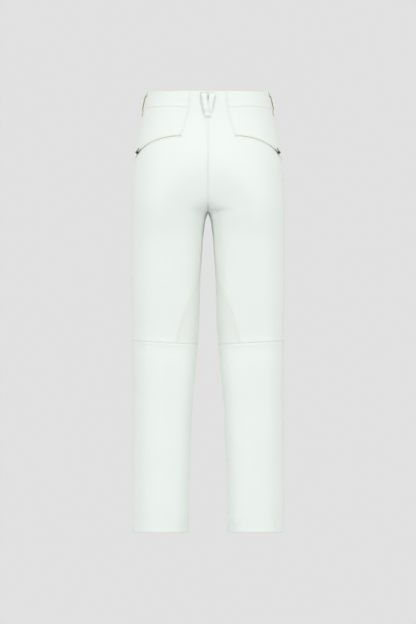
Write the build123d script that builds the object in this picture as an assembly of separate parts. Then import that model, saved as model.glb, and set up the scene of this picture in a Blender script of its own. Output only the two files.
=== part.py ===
from build123d import *
import math
import os

# Ski pants. Millimetres, +Z up, origin at the middle of the waist edge, the wearer facing -Y with the left side on +X.
# A "drop" is a distance below the waist edge. An "angle" runs round one half of the garment, seen from above:
# 0 at the inner leg, 90 at the back, 180 at the side seam, 270 at the front.

LENGTH = 1048.0
WAIST_SEAM = 39.0
CROTCH = 289.0
KNEE_FRONT = 480.0
KNEE = 596.0
CLOTH = 2.0
SEAM_GAP = 0.2
ROUNDNESS = 2.3
INNER_BACK_POWER = 3.4
LEG_SPLIT_START = 150.0
CLOSING_POWER = 3.4

# Half widths and depths of the outline as (drop, distance) pairs.
OUTER_EDGE = [(0, 143.5), (57, 156), (92, 163.5), (127, 170.2), (163, 175.5), (211, 180), (262, 182.5)]
OUTER_EDGE += [(400, 182.5), (600, 180.5), (1050, 178.5)]
INNER_EDGE = [(289, 0), (315, 7.5), (367, 13.2), (447, 17.5), (523, 20), (600, 25), (740, 36.6), (1050, 48.5)]
FRONT_DEPTH = [(0, 112), (189, 125), (262, 121), (330, 112), (450, 101), (600, 91), (800, 87), (1050, 85)]
BACK_DEPTH = [(0, 110), (60, 114), (185, 138), (289, 121), (350, 107), (450, 97), (600, 83), (750, 84), (1050, 92)]

# Seams on the back as (drop, distance from the centre) pairs.
BACK_SEAM = [(0, 44.5), (39, 47.5), (111, 64)]
GUSSET_SEAM = [(289, 2.5), (317, 12), (364, 18), (425, 23.7), (438, 24.5), (481, 38.6), (531, 56.4), (596, 74)]

# Pocket zips as (drop, distance from the centre) of their two ends and middle.
REAR_ZIP = [(110.0, 64), (121.5, 127), (158, 171)]
FRONT_ZIP = [(62, 124), (137, 149), (212, 166)]
ZIP_SLOT = 7.0
CHAIN_WIDTH = 4.4
CHAIN_TOP = 0.3
TAPE_WIDTH = 16.0
TAPE_DEPTH = (4.6, 3.8)
POCKET_INSET = 6.0
SIDE_TIP = 168.0

FLY_TOP = 46.0
FLY_BOTTOM = 188.0
FLY_SLOT = 14.0
FLAP_BOTTOM = 200.0

KNEE_BEND = 60.0
BEND_MARGIN = 2.0
GAITER_TOP = 870.0
GAITER_BOTTOM = 1032.0
HEM_DEPTH = 36.0
LINING_INSET = [(0, 10.5), (290, 10.5), (350, 7.0), (1050, 7.0)]

# Drops at which every panel has a section, so that neighbours share their seam lines.
STATIONS = [20, 39, 60, 80, 100, 107, 110, 114, 119, 125, 132, 140, 148, 156, 162, 168, 180, 194, 200, 220, 240, 255]
STATIONS += [267, 274, 280, 284, 287, 289, 296, 305, 317, 335, 364, 395, 425, 438, 460, 481, 505, 531, 565, 596]
STATIONS += [640, 690, 740, 800, 870, 940, 1010]


def profile(table):
    """A smooth curve through table that never overshoots its points."""
    xs = [p[0] for p in table]
    ys = [p[1] for p in table]
    steps = [xs[i + 1] - xs[i] for i in range(len(xs) - 1)]
    rises = [(ys[i + 1] - ys[i]) / steps[i] for i in range(len(steps))]
    slopes = [rises[0]]
    for before, after in zip(rises, rises[1:]):
        slopes.append(2 * before * after / (before + after) if before * after > 0 else 0.0)
    slopes.append(rises[-1])

    def value(x):
        x = min(max(x, xs[0]), xs[-1])
        i = max(k for k in range(len(steps)) if xs[k] <= x or k == 0)
        t = (x - xs[i]) / steps[i]
        held = (2 * t**3 - 3 * t**2 + 1) * ys[i] + (3 * t**2 - 2 * t**3) * ys[i + 1]
        return held + steps[i] * ((t**3 - 2 * t**2 + t) * slopes[i] + (t**3 - t**2) * slopes[i + 1])

    return value


outer_edge = profile(OUTER_EDGE)
inner_edge = profile(INNER_EDGE)
front_depth = profile(FRONT_DEPTH)
back_depth = profile(BACK_DEPTH)
back_seam = profile(BACK_SEAM)
gusset_seam = profile(GUSSET_SEAM)


def leg_centre(drop):
    """Distance of one half's section centre from the middle: 0 at the waist, mid-leg below the crotch."""
    if drop >= CROTCH:
        return (outer_edge(drop) + inner_edge(drop)) / 2
    t = max(0.0, (drop - LEG_SPLIT_START) / (CROTCH - LEG_SPLIT_START))
    return outer_edge(CROTCH) / 2 * t * t * (3 - 2 * t)


def half_width(drop, inward):
    """Reach of the section from its centre. The inner side stays wide, so the seat is flat, then closes fast."""
    centre = leg_centre(drop)
    if drop >= CROTCH or not inward:
        return outer_edge(drop) - centre
    t = max(0.0, (drop - LEG_SPLIT_START) / (CROTCH - LEG_SPLIT_START))
    return max(centre, 1.0) / max(t**CLOSING_POWER, 0.02)


def section_power(drop, inward, back):
    """Exponent of the section. Its inner back corner grows squarer towards the crotch and stays so down the leg."""
    if not (inward and back):
        return ROUNDNESS
    t = max(0.0, min(1.0, (drop - LEG_SPLIT_START) / (CROTCH - LEG_SPLIT_START)))
    return ROUNDNESS + (INNER_BACK_POWER - ROUNDNESS) * t


def surface(drop, angle, inset=0.0):
    """The point of the left half at this drop and angle in radians, moved in by inset."""
    centre = leg_centre(drop)
    inward = math.cos(angle) > 0
    back = math.sin(angle) > 0
    width = half_width(drop, inward) - inset
    power = section_power(drop, inward, back)
    depth = (back_depth(drop) if back else front_depth(drop)) - inset
    round_sum = abs(math.cos(angle) / width) ** power + abs(math.sin(angle) / depth) ** power
    radius = round_sum ** (-1 / power)
    return Vector(centre - radius * math.cos(angle), radius * math.sin(angle), -drop)


def angle_at(drop, x, back=True):
    """The angle at which the section at this drop passes x, on the back or the front."""
    centre = leg_centre(drop)
    depth = back_depth(drop) if back else front_depth(drop)
    share = min(1.0, abs((x - centre) / half_width(drop, x < centre)))
    power = section_power(drop, x < centre, back)
    y = depth * (1 - share**power) ** (1 / power)
    angle = math.atan2(y, centre - x)
    return angle if back else 2 * math.pi - angle


def normal_at(drop, angle):
    """Unit normal of the surface, pointing out of the garment."""
    step = 0.002
    along = surface(drop, angle + step) - surface(drop, angle - step)
    down = surface(drop + 1, angle) - surface(drop - 1, angle)
    return along.cross(down).normalized()


def nudge(drop):
    """Half a seam gap as an angle."""
    return SEAM_GAP / 2 / (outer_edge(drop) - leg_centre(drop))


def levels(top, bottom):
    """Section drops from top to bottom, with the shared stations between them."""
    return [top] + [s for s in STATIONS if top + 1 < s < bottom - 1] + [bottom]


def section(drop, start, end, inset, cloth):
    """Closed outline of a cloth band at one drop."""
    count = max(4, round((end - start) / math.radians(14)))
    angles = [start + (end - start) * i / count for i in range(count + 1)]
    outside = [surface(drop, a, inset) for a in angles]
    inside = [surface(drop, a, inset + cloth) for a in reversed(angles)]
    edges = [
        Edge.make_spline(outside),
        Edge.make_line(outside[-1], inside[0]),
        Edge.make_spline(inside),
        Edge.make_line(inside[-1], outside[0]),
    ]
    return Wire(edges)


def panel(top, bottom, start, end, inset=0.0, cloth=CLOTH):
    """A cloth band between two drops and two seams. start and end give an angle for a drop."""
    top += SEAM_GAP / 2
    bottom -= SEAM_GAP / 2
    depth = inset if callable(inset) else lambda drop: inset
    sections = []
    for d in levels(top, bottom):
        sections.append(section(d, start(d) + nudge(d), end(d) - nudge(d), depth(d), cloth))
    return Solid.make_loft(sections, ruled=True)


def frames(points, angles):
    """(point, out, across) at each point of a path over the surface."""
    found = []
    for i, point in enumerate(points):
        tangent = (points[min(i + 1, len(points) - 1)] - points[max(i - 1, 0)]).normalized()
        out = normal_at(-point.Z, angles[i])
        across = out.cross(tangent).normalized()
        found.append((point, tangent.cross(across).normalized(), across))
    return found


def strip(path, width, low, high):
    """A tape along path. low and high are its heights over the surface, one number or one for each frame."""
    lows = low if isinstance(low, list) else [low] * len(path)
    highs = high if isinstance(high, list) else [high] * len(path)
    sections = []
    for (point, out, across), bottom, top in zip(path, lows, highs):
        side = across * (width / 2)
        corners = [point - side + out * bottom, point + side + out * bottom]
        corners += [point + side + out * top, point - side + out * top]
        sections.append(Wire.make_polygon(corners, close=True))
    return Solid.make_loft(sections, ruled=True)


def section_angle(point):
    """The angle of a point near the surface."""
    return math.atan2(point.Y, leg_centre(-point.Z) - point.X) % (2 * math.pi)


# ---- seam lines, each an angle for a drop ----


def centre_back(drop):
    return angle_at(drop, 0.0) if drop < CROTCH else 0.0


def centre_front(drop):
    return angle_at(drop, 0.0, back=False) if drop < CROTCH else 2 * math.pi


def side_seam(drop):
    return math.pi


def grown_on_seam(drop):
    return angle_at(drop, back_seam(drop))


def zip_arc(table, back):
    """The circle arc that a pocket zip follows, on the surface."""
    return Edge.make_three_point_arc(*[surface(drop, angle_at(drop, x, back)) for drop, x in table])


REAR_ARC = zip_arc(REAR_ZIP, True)
FRONT_ARC = zip_arc(FRONT_ZIP, False)
ARC_SAMPLES = [REAR_ARC.position_at(i / 60) for i in range(61)]


def rear_zip_angle(drop):
    """Angle of the rear zip at a drop, carried on from its outer end to the side seam."""
    end = ARC_SAMPLES[-1]
    if drop >= -end.Z:
        share = min(1.0, (drop + end.Z) / (SIDE_TIP + end.Z))
        return section_angle(end) + (math.pi - section_angle(end)) * share
    nearest = max([p for p in ARC_SAMPLES if -p.Z <= drop], key=lambda p: -p.Z, default=ARC_SAMPLES[0])
    following = min([p for p in ARC_SAMPLES if -p.Z > drop], key=lambda p: -p.Z)
    share = max(0.0, (drop + nearest.Z) / (nearest.Z - following.Z)) if following.Z < nearest.Z else 0.0
    return section_angle(nearest) + (section_angle(following) - section_angle(nearest)) * share


def yoke_edge(drop):
    if drop + ZIP_SLOT / 2 < REAR_ZIP[0][0]:
        return grown_on_seam(drop)
    return max(rear_zip_angle(drop + ZIP_SLOT / 2), grown_on_seam(drop))


def back_panel_side(drop):
    if drop < REAR_ZIP[0][0] + ZIP_SLOT / 2:
        return grown_on_seam(drop)
    return rear_zip_angle(drop - ZIP_SLOT / 2)


def back_panel_inner(drop):
    return angle_at(drop, gusset_seam(drop)) if drop >= CROTCH else centre_back(drop)


def gusset_front(drop):
    return 2 * math.pi - angle_at(drop, gusset_seam(drop))


def front_panel_inner(drop):
    if drop >= CROTCH:
        return gusset_front(drop)
    slot = FLY_SLOT / 2 * min(1.0, max(0.0, (FLAP_BOTTOM - drop) / 6))
    return angle_at(drop, slot, back=False)


def inseam_start(drop):
    return 0.0


def inseam_end(drop):
    return 2 * math.pi


# ---- cloth ----


def waistband():
    return panel(0, WAIST_SEAM, grown_on_seam, centre_front)


def waist_facing():
    return panel(1, WAIST_SEAM - 1, centre_back, centre_front, inset=CLOTH + 0.3, cloth=1.0)


def back_panel():
    return panel(0, KNEE, back_panel_inner, back_panel_side)


def back_yoke():
    return panel(WAIST_SEAM, SIDE_TIP - 6, yoke_edge, side_seam)


def front_panel():
    cloth = panel(WAIST_SEAM, KNEE_FRONT, side_seam, front_panel_inner)
    slot = strip(arc_frames(FRONT_ARC, 24, 0.0, 1.0), ZIP_SLOT, -6.0, 4.0)
    return cloth - slot


def gusset():
    """The inner-leg panel: it crosses angle 0, so it is one band from its front seam to its back seam."""
    return panel(CROTCH, KNEE, lambda d: gusset_front(d) - 2 * math.pi, back_panel_inner)


def knee_panel():
    return panel(KNEE_FRONT, KNEE, side_seam, gusset_front)


def bend_wedge(drop_below):
    """A block over a plane that falls towards the back from the knee axis, drop_below under it."""
    block = Box(500, 800, 400, align=(Align.CENTER, Align.CENTER, Align.MIN))
    return Pos(0, 0, -KNEE - drop_below) * Rot(-(KNEE_BEND + BEND_MARGIN), 0, 0) * block


def lower_back_whole():
    return panel(KNEE, LENGTH, inseam_start, side_seam)


def knee_fold():
    """The cloth behind the knee that gathers as the knee bends."""
    return lower_back_whole() & bend_wedge(0.0)


def lower_back():
    return lower_back_whole() - bend_wedge(0.6)


def lower_front():
    return panel(KNEE + 0.4, LENGTH, side_seam, inseam_end)


def hem_facing():
    return panel(LENGTH - HEM_DEPTH, LENGTH - 1, inseam_start, inseam_end, inset=CLOTH + 0.3, cloth=1.2)


def leg_lining():
    return panel(WAIST_SEAM + 1, LENGTH - 50, centre_back, centre_front, inset=profile(LINING_INSET), cloth=0.8)


def gaiter_inset(drop):
    return 9.5 + 14.0 * max(0.0, (drop - GAITER_TOP) / (GAITER_BOTTOM - GAITER_TOP))


def snow_gaiter():
    return panel(GAITER_TOP, GAITER_BOTTOM, inseam_start, inseam_end, inset=gaiter_inset, cloth=1.2)


def elastic_inset(drop):
    return gaiter_inset(drop) + 1.5


def gaiter_elastic():
    return panel(GAITER_BOTTOM - 26, GAITER_BOTTOM - 1, inseam_start, inseam_end, inset=elastic_inset, cloth=1.4)


def rear_pocket_bag():
    low, high = math.radians(120), math.radians(166)
    return panel(96, 286, lambda d: low, lambda d: high, inset=POCKET_INSET, cloth=1.2)


def front_pocket_bag():
    low, high = math.radians(203), math.radians(244)
    return panel(56, 268, lambda d: low, lambda d: high, inset=POCKET_INSET, cloth=1.2)


# ---- zips ----


def arc_frames(arc, count, first, last):
    """Frames along part of a zip's arc."""
    points = [arc.position_at(first + (last - first) * i / count) for i in range(count + 1)]
    return frames(points, [section_angle(p) for p in points])


def pocket_zip(arc):
    tape = strip(arc_frames(arc, 14, 0.0, 1.0), TAPE_WIDTH, -TAPE_DEPTH[0], -TAPE_DEPTH[1])
    chain = strip(arc_frames(arc, 14, 0.04, 0.98), CHAIN_WIDTH, -TAPE_DEPTH[0] + 0.2, CHAIN_TOP)
    return tape + chain


def slider_plane(arc, place, turn):
    """Where a slider sits: x along the zip towards the way its pull lies, z out of the garment."""
    point, out, across = arc_frames(arc, 100, 0.0, 1.0)[round(place * 100)]
    return Plane(origin=point, x_dir=across.cross(out) * turn, z_dir=out)


SLIDER_LENGTH = 9.0
SLIDER_WIDTH = 7.0
SLIDER_HEIGHT = 2.6
BAIL_HEIGHT = 2.6
PIN_RADIUS = 0.6
PIN_CLEARANCE = 0.2
PULL_LENGTH = 19.0
PULL_WIDTH = 5.6
PULL_THICK = 1.2


def slider_body(lift):
    """A zip slider with a bail that its pull's pin goes through, its underside at lift."""
    body = Pos(0, 0, lift + SLIDER_HEIGHT / 2) * Box(SLIDER_LENGTH, SLIDER_WIDTH, SLIDER_HEIGHT)
    body = fillet(body.edges().filter_by(Axis.Z), 2.4)
    bail = Pos(0, 0, lift + SLIDER_HEIGHT + BAIL_HEIGHT / 2) * Box(5.0, 2.2, BAIL_HEIGHT)
    bail = fillet(bail.edges().filter_by(Axis.Y).group_by(Axis.Z)[-1], 1.2)
    hole = Pos(0, 0, pin_height(lift)) * Rot(90, 0, 0) * Cylinder(PIN_RADIUS + PIN_CLEARANCE, 4)
    return body + bail - hole


def pin_height(lift):
    return lift + SLIDER_HEIGHT + BAIL_HEIGHT / 2


def pull_body(lift):
    """A pull tab on two arms, with a pin between them."""
    height = pin_height(lift)
    pin = Pos(0, 0, height) * Rot(90, 0, 0) * Cylinder(PIN_RADIUS, PULL_WIDTH)
    arms = []
    for side in (-1, 1):
        arms.append(Pos(2.6, side * 2.1, height) * Box(6.4, 1.4, PULL_THICK))
    tab = Pos(5.2 + PULL_LENGTH / 2 - 2.6, 0, height) * Box(PULL_LENGTH - 5.2, PULL_WIDTH, PULL_THICK)
    tab = fillet(tab.edges().filter_by(Axis.Z), 1.6)
    return pin + arms[0] + arms[1] + tab


POCKET_SLIDER_LIFT = 2.2
REAR_SLIDER_PLACE = 0.87
FRONT_SLIDER_PLACE = 0.06


def placed(plane, shape):
    return plane.location * shape


REAR_SLIDER = slider_plane(REAR_ARC, REAR_SLIDER_PLACE, -1)
FRONT_SLIDER = slider_plane(FRONT_ARC, FRONT_SLIDER_PLACE, 1)

# ---- fly and waist closure, all across the centre front ----


def fly_frames(top, bottom, x=0.0):
    """Frames down the centre front on the straight line that the fly zip keeps."""
    high = Vector(x, -front_depth(FLY_TOP), -FLY_TOP)
    low = Vector(x, -front_depth(FLY_BOTTOM), -FLY_BOTTOM)
    along = (low - high).normalized()
    out = Vector(1, 0, 0).cross(along).normalized()
    out = out * (-1 if out.Y > 0 else 1)
    points = [high + along * ((d - FLY_TOP) / (FLY_BOTTOM - FLY_TOP) * (low - high).length) for d in (top, bottom)]
    return [(p, out, Vector(1, 0, 0)) for p in points]


FLY_TAPE = (5.6, 4.8)
FLY_CHAIN_TOP = 3.6
FLY_SLIDER_LIFT = -3.0
FLY_SLIDER_DROP = 56.0


def fly_zip():
    tape = strip(fly_frames(FLY_TOP, FLY_BOTTOM), 30, -FLY_TAPE[0], -FLY_TAPE[1])
    chain = strip(fly_frames(FLY_TOP + 2, FLY_BOTTOM - 2), 5, -FLY_TAPE[0] + 0.3, -FLY_CHAIN_TOP)
    return tape + chain


def fly_plane():
    point, out, across = fly_frames(FLY_SLIDER_DROP, FLY_BOTTOM)[0]
    return Plane(origin=point, x_dir=across.cross(out), z_dir=out)


def fly_slider():
    body = Pos(0, 0, FLY_SLIDER_LIFT + 1.1) * Box(11, 9, 2.2)
    return placed(fly_plane(), fillet(body.edges().filter_by(Axis.Z), 3.0))


def fly_pull():
    tab = Pos(9.5, 0, -0.2) * Box(20, 6, 1.2)
    return placed(fly_plane(), fillet(tab.edges().filter_by(Axis.Z), 2.0))


FLAP_LEFT = 18.0
FLAP_RIGHT = -18.0


def surface_strip(top, bottom, left, right, low, high, steps=8):
    """A patch across the centre front that follows the cloth at heights low to high."""
    sections = []
    for drop in levels(top, bottom):
        row = []
        for i in range(steps + 1):
            x = left + (right - left) * i / steps
            depth = front_depth(drop) * (1 - abs(x / outer_edge(drop)) ** ROUNDNESS) ** (1 / ROUNDNESS)
            row.append(Vector(x, -depth, -drop))
        outside = [p + Vector(0, -high, 0) for p in row]
        inside = [p + Vector(0, -low, 0) for p in reversed(row)]
        edges = [
            Edge.make_spline(outside),
            Edge.make_line(outside[-1], inside[0]),
            Edge.make_spline(inside),
            Edge.make_line(inside[-1], outside[0]),
        ]
        sections.append(Wire(edges))
    return Solid.make_loft(sections, ruled=True)


def fly_flap():
    return surface_strip(WAIST_SEAM + 2, FLAP_BOTTOM, FLAP_LEFT, FLAP_RIGHT, 1.8, 3.4)


def fly_shield():
    return strip(fly_frames(FLY_TOP, FLAP_BOTTOM - 4), 44, -FLY_TAPE[0] - 1.5, -FLY_TAPE[0] - 0.5)


TAB_SEWN = -36.0
TAB_TIP = 40.0
TAB_TOP = 7.0
TAB_BOTTOM = 33.0
TAB_LIFT = 1.6
TAB_THICK = 1.8
STUD_X = (14.0, 31.0)
STUD_RADIUS = 6.5


def waist_tab():
    return surface_strip(TAB_TOP, TAB_BOTTOM, TAB_TIP, TAB_SEWN, TAB_LIFT, TAB_LIFT + TAB_THICK)


def stud_plane(x):
    drop = (TAB_TOP + TAB_BOTTOM) / 2
    angle = angle_at(drop, x, back=False)
    return Plane(origin=surface(drop, angle), z_dir=normal_at(drop, angle))


def studs(low, high, radius):
    """Two discs on the cloth at the stud places."""
    discs = []
    for x in STUD_X:
        discs.append(placed(stud_plane(x), Pos(0, 0, (low + high) / 2) * Cylinder(radius, high - low)))
    return Compound(children=discs)


# ---- belt loops ----

LOOP_WIDTH = 12.5
LOOP_THICK = 1.2
LOOP_GAP = 5.4
LOOP_SEWN = 0.5
LOOP_DROPS = [1.5, 6, 15, 40, 49, 57]
LOOP_RISE = [0.0, 0.0, 1.0, 1.0, 0.0, 0.0]


def belt_loop(drops, angles, heights):
    """A tape that lies on the waistband at both ends and stands off between them."""
    path = frames([surface(d, a) for d, a in zip(drops, angles)], angles)
    return strip(path, LOOP_WIDTH, heights, [h + LOOP_THICK for h in heights])


def side_loop():
    return belt_loop(LOOP_DROPS, [math.pi] * 6, [LOOP_SEWN + LOOP_GAP * rise for rise in LOOP_RISE])


def front_loop():
    angles = [angle_at(d, 88.0, back=False) for d in LOOP_DROPS]
    return belt_loop(LOOP_DROPS, angles, [LOOP_SEWN + LOOP_GAP * rise for rise in LOOP_RISE])


V_DROPS = [1.5, 6, 15, 45, 56, 64]
V_TOP = 10.4
V_BOTTOM = 1.0
CROSSING_LIFT = 2.3


def back_loop_arm(over):
    """One arm of the centre-back V. The arm that lies over is higher where the two cross."""
    angles = []
    heights = []
    for drop, rise in zip(V_DROPS, LOOP_RISE):
        share = (drop - V_DROPS[0]) / (V_DROPS[-1] - V_DROPS[0])
        angles.append(angle_at(drop, V_TOP + (V_BOTTOM - V_TOP) * share))
        heights.append(LOOP_SEWN + LOOP_GAP * rise + (over * CROSSING_LIFT if share > 0 else 0.0))
    return belt_loop(V_DROPS, angles, heights)


# ---- output ----


def mirrored(shape):
    return shape.mirror(Plane.YZ)


PAIRED = {
    "waistband": waistband,
    "waist_facing": waist_facing,
    "back_panel": back_panel,
    "back_yoke": back_yoke,
    "front_panel": front_panel,
    "gusset": gusset,
    "knee_panel": knee_panel,
    "knee_fold": knee_fold,
    "lower_back": lower_back,
    "lower_front": lower_front,
    "hem_facing": hem_facing,
    "leg_lining": leg_lining,
    "snow_gaiter": snow_gaiter,
    "gaiter_elastic": gaiter_elastic,
    "rear_zip": lambda: pocket_zip(REAR_ARC),
    "front_zip": lambda: pocket_zip(FRONT_ARC),
    "rear_slider": lambda: placed(REAR_SLIDER, slider_body(POCKET_SLIDER_LIFT)),
    "rear_pull": lambda: placed(REAR_SLIDER, pull_body(POCKET_SLIDER_LIFT)),
    "front_slider": lambda: placed(FRONT_SLIDER, slider_body(POCKET_SLIDER_LIFT)),
    "front_pull": lambda: placed(FRONT_SLIDER, pull_body(POCKET_SLIDER_LIFT)),
    "rear_pocket_bag": rear_pocket_bag,
    "front_pocket_bag": front_pocket_bag,
    "side_loop": side_loop,
    "front_loop": front_loop,
}

SINGLE = {
    "back_loop_arm_left": lambda: back_loop_arm(1),
    "back_loop_arm_right": lambda: mirrored(back_loop_arm(0)),
    "fly_zip": fly_zip,
    "fly_slider": fly_slider,
    "fly_pull": fly_pull,
    "fly_flap": fly_flap,
    "fly_shield": fly_shield,
    "waist_tab": waist_tab,
    "stud_caps": lambda: studs(TAB_LIFT + TAB_THICK + 0.3, TAB_LIFT + TAB_THICK + 2.1, STUD_RADIUS),
    "stud_sockets": lambda: studs(0.2, 1.0, STUD_RADIUS - 1.5),
}


def write_all():
    os.makedirs("parts", exist_ok=True)
    for name, make in PAIRED.items():
        shape = make()
        export_step(shape, f"parts/{name}_left.step")
        export_step(mirrored(shape), f"parts/{name}_right.step")
    for name, make in SINGLE.items():
        export_step(make(), f"parts/{name}.step")


write_all()
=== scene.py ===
"""White ski pants: cloth panels, seams, zips, belt loops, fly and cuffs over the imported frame."""
import math

import bmesh
import bpy
import numpy as np
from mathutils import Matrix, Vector


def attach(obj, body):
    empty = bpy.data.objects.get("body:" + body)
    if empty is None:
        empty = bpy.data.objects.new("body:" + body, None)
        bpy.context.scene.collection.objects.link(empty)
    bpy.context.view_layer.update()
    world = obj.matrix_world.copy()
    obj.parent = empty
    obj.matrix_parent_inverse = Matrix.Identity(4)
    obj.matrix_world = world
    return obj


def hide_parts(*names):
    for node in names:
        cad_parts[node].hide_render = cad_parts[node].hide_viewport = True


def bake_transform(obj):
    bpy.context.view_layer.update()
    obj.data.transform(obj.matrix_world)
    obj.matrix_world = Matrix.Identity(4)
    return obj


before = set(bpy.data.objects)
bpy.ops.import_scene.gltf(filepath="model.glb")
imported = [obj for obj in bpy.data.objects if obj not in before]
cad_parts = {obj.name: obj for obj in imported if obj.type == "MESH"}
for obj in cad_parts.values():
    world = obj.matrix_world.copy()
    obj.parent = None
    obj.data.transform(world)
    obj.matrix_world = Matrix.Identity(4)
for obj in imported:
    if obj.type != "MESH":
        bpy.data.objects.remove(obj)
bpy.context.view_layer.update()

# Lengths are millimetres until a mesh is made. A drop is a distance below the waist edge.
# An angle runs round one half of the garment seen from above: 0 at the inner leg, 90 at the back,
# 180 at the side seam, 270 at the front.

MM = 0.001
LENGTH = 1048.0
WAIST_SEAM = 39.0
CROTCH = 289.0
KNEE = 596.0
ROUNDNESS = 2.3
INNER_BACK_POWER = 3.4
LEG_SPLIT_START = 150.0
CLOSING_POWER = 3.4
OUTER_EDGE = [(0, 143.5), (57, 156), (92, 163.5), (127, 170.2), (163, 175.5), (211, 180), (262, 182.5)]
OUTER_EDGE += [(400, 182.5), (600, 180.5), (1050, 178.5)]
INNER_EDGE = [(289, 0), (315, 7.5), (367, 13.2), (447, 17.5), (523, 20), (600, 25), (740, 36.6), (1050, 48.5)]
FRONT_DEPTH = [(0, 112), (189, 125), (262, 121), (330, 112), (450, 101), (600, 91), (800, 87), (1050, 85)]
BACK_DEPTH = [(0, 110), (60, 114), (185, 138), (289, 121), (350, 107), (450, 97), (600, 83), (750, 84)]
BACK_DEPTH += [(1050, 92)]
BACK_SEAM = [(0, 44.5), (39, 47.5), (111, 64)]
GUSSET_SEAM = [(289, 2.5), (317, 12), (364, 18), (425, 23.7), (438, 24.5), (481, 38.6), (531, 56.4)]
GUSSET_SEAM += [(596, 74)]
REAR_ZIP = [(110.0, 64), (121.5, 127), (158, 171)]
FRONT_ZIP = [(62, 124), (137, 149), (212, 166)]
ZIP_SLOT = 1.4
SIDE_TIP = 168.0
FLY_TOP = 46.0
FLY_BOTTOM = 188.0
FLY_SLOT = 14.0
FLAP_BOTTOM = 200.0
GAITER_TOP = 870.0
GAITER_BOTTOM = 1032.0
HEM_DEPTH = 36.0
HEM_STITCH = 15.0
LINING_INSET = [(0, 10.5), (290, 10.5), (350, 7.0), (1050, 7.0)]
CLOTH = 1.6
SEAM_GAP = 0.1
WEAVE_RADIUS = 105.0
ROLL_DEPTH = 0.35
ROLL_WIDTH = 1.1

# ---- the garment's surface ----


def profile(table):
    """Cubic curve through a table, its slopes the harmonic mean of the rises either side."""
    xs, ys = np.array(table, float).T
    steps = np.diff(xs)
    rises = np.diff(ys) / steps
    product = rises[:-1] * rises[1:]
    total = np.where(product > 0, rises[:-1] + rises[1:], 1.0)
    inner = np.where(product > 0, 2 * product / total, 0.0)
    slopes = np.concatenate([rises[:1], inner, rises[-1:]])

    def value(x):
        x = np.clip(np.asarray(x, float), xs[0], xs[-1])
        i = np.clip(np.searchsorted(xs, x, side="right") - 1, 0, len(steps) - 1)
        t = (x - xs[i]) / steps[i]
        held = (2 * t**3 - 3 * t**2 + 1) * ys[i] + (3 * t**2 - 2 * t**3) * ys[i + 1]
        return held + steps[i] * ((t**3 - 2 * t**2 + t) * slopes[i] + (t**3 - t**2) * slopes[i + 1])

    return value


outer_edge = profile(OUTER_EDGE)
inner_edge = profile(INNER_EDGE)
front_depth = profile(FRONT_DEPTH)
back_depth = profile(BACK_DEPTH)
back_seam = profile(BACK_SEAM)
gusset_seam = profile(GUSSET_SEAM)
lining_inset = profile(LINING_INSET)


def leg_centre(drop):
    """Middle of one half's section: a smooth step from 0 at the waist to mid-leg at the crotch."""
    t = np.clip((drop - LEG_SPLIT_START) / (CROTCH - LEG_SPLIT_START), 0, 1)
    upper = outer_edge(CROTCH) / 2 * t * t * (3 - 2 * t)
    return np.where(drop < CROTCH, upper, (outer_edge(drop) + inner_edge(drop)) / 2)


def half_width(drop, inward):
    """Reach of the section from its middle. The inner side stays wide, so the seat is flat, then closes fast:
    middle / t^power, where t runs from 0 to 1 between the waist and the crotch."""
    centre = leg_centre(drop)
    t = np.clip((drop - LEG_SPLIT_START) / (CROTCH - LEG_SPLIT_START), 0, 1)
    flat = np.maximum(centre, 1.0) / np.maximum(t**CLOSING_POWER, 0.02)
    return np.where(inward & (drop < CROTCH), flat, outer_edge(drop) - centre)


def section_power(drop, inward, back):
    """Exponent of the section: its inner back corner grows squarer down to the crotch."""
    t = np.clip((drop - LEG_SPLIT_START) / (CROTCH - LEG_SPLIT_START), 0, 1)
    return ROUNDNESS + (INNER_BACK_POWER - ROUNDNESS) * t * (inward & back)


def join(*parts):
    """Coordinates side by side, as the last axis."""
    return np.stack(np.broadcast_arrays(*parts), axis=-1)


def surface(drop, angle, inset=0.0):
    """Superellipse section: radius = (|cos/width|^n + |sin/depth|^n)^(-1/n) about the half's middle."""
    centre = leg_centre(drop)
    inward, back = np.cos(angle) > 0, np.sin(angle) > 0
    width = half_width(drop, inward) - inset
    power = section_power(drop, inward, back)
    depth = np.where(back, back_depth(drop), front_depth(drop)) - inset
    total = np.abs(np.cos(angle) / width) ** power + np.abs(np.sin(angle) / depth) ** power
    radius = total ** (-1 / power)
    return join(centre - radius * np.cos(angle), radius * np.sin(angle), -drop)


def unit(vectors):
    return vectors / np.linalg.norm(vectors, axis=-1, keepdims=True)


def normals(drop, angle):
    """Cross product of the surface's steps along the angle and down the drop."""
    along = surface(drop, angle + 0.002) - surface(drop, angle - 0.002)
    down = surface(drop + 1, angle) - surface(drop - 1, angle)
    return unit(np.cross(along, down))


def angle_at(drop, x, back=True):
    """Angle at which the section passes x, from the superellipse solved for its depth."""
    centre = leg_centre(drop)
    depth = back_depth(drop) if back else front_depth(drop)
    share = np.minimum(1.0, np.abs((x - centre) / half_width(drop, x < centre)))
    power = section_power(drop, x < centre, back)
    angle = np.arctan2(depth * (1 - share**power) ** (1 / power), centre - x)
    return angle if back else 2 * np.pi - angle


def bump(x, middle, spread):
    return np.exp(-(((x - middle) / spread) ** 2))


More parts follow.
